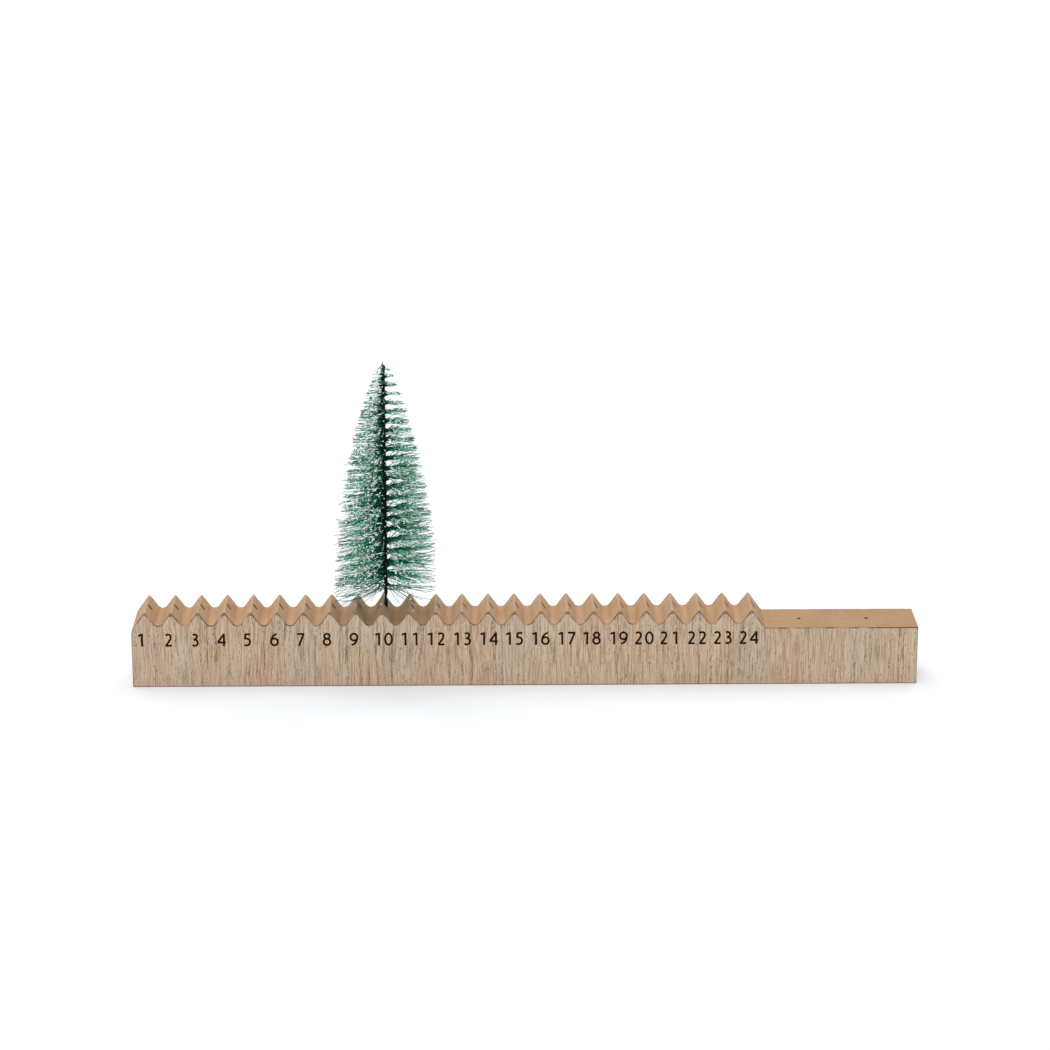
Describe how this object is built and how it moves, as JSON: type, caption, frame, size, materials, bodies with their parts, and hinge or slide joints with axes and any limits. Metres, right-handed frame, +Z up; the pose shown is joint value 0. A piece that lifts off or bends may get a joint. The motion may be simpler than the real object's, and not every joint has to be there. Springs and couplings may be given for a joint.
{
  "type": "advent calendar",
  "caption": "Long wooden bar with a numbered ridge for each day of Advent, a flat pad at one end, and a small bottle-brush tree that lifts out of its socket.",
  "frame": {"origin": "middle of the bar's underside, on the surface that it stands on", "axes": "+X along the bar from the first number to the pad, -Y out of the numbered face, +Z up along the tree"},
  "size_m": [0.5, 0.0636, 0.2092],
  "materials": {
    "core_board": "sawn and sanded wood-fibre board, matt",
    "veneer": "open-grained pale wood veneer, unvarnished",
    "stem_wire": "dark green lacquered wire",
    "bristle": "dyed synthetic bristle with frosted tips",
    "ink": "matt printing ink",
    "snow": "small white foam granules"
  },
  "bodies": {
    "bar": {"core_block": "core_board", "front_veneer": "veneer", "back_veneer": "veneer"},
    "tree": {"stem_wire_a": "stem_wire", "stem_wire_b": "stem_wire", "bristles_1": "bristle", "bristles_2": "bristle", "bristles_3": "bristle", "bristles_4": "bristle"}
  },
  "joints": [
    {"name": "tree_lift", "type": "slide", "parent": "bar", "child": "tree", "axis": [0, 0, 1], "range_m": [0, 0.03]}
  ]
}
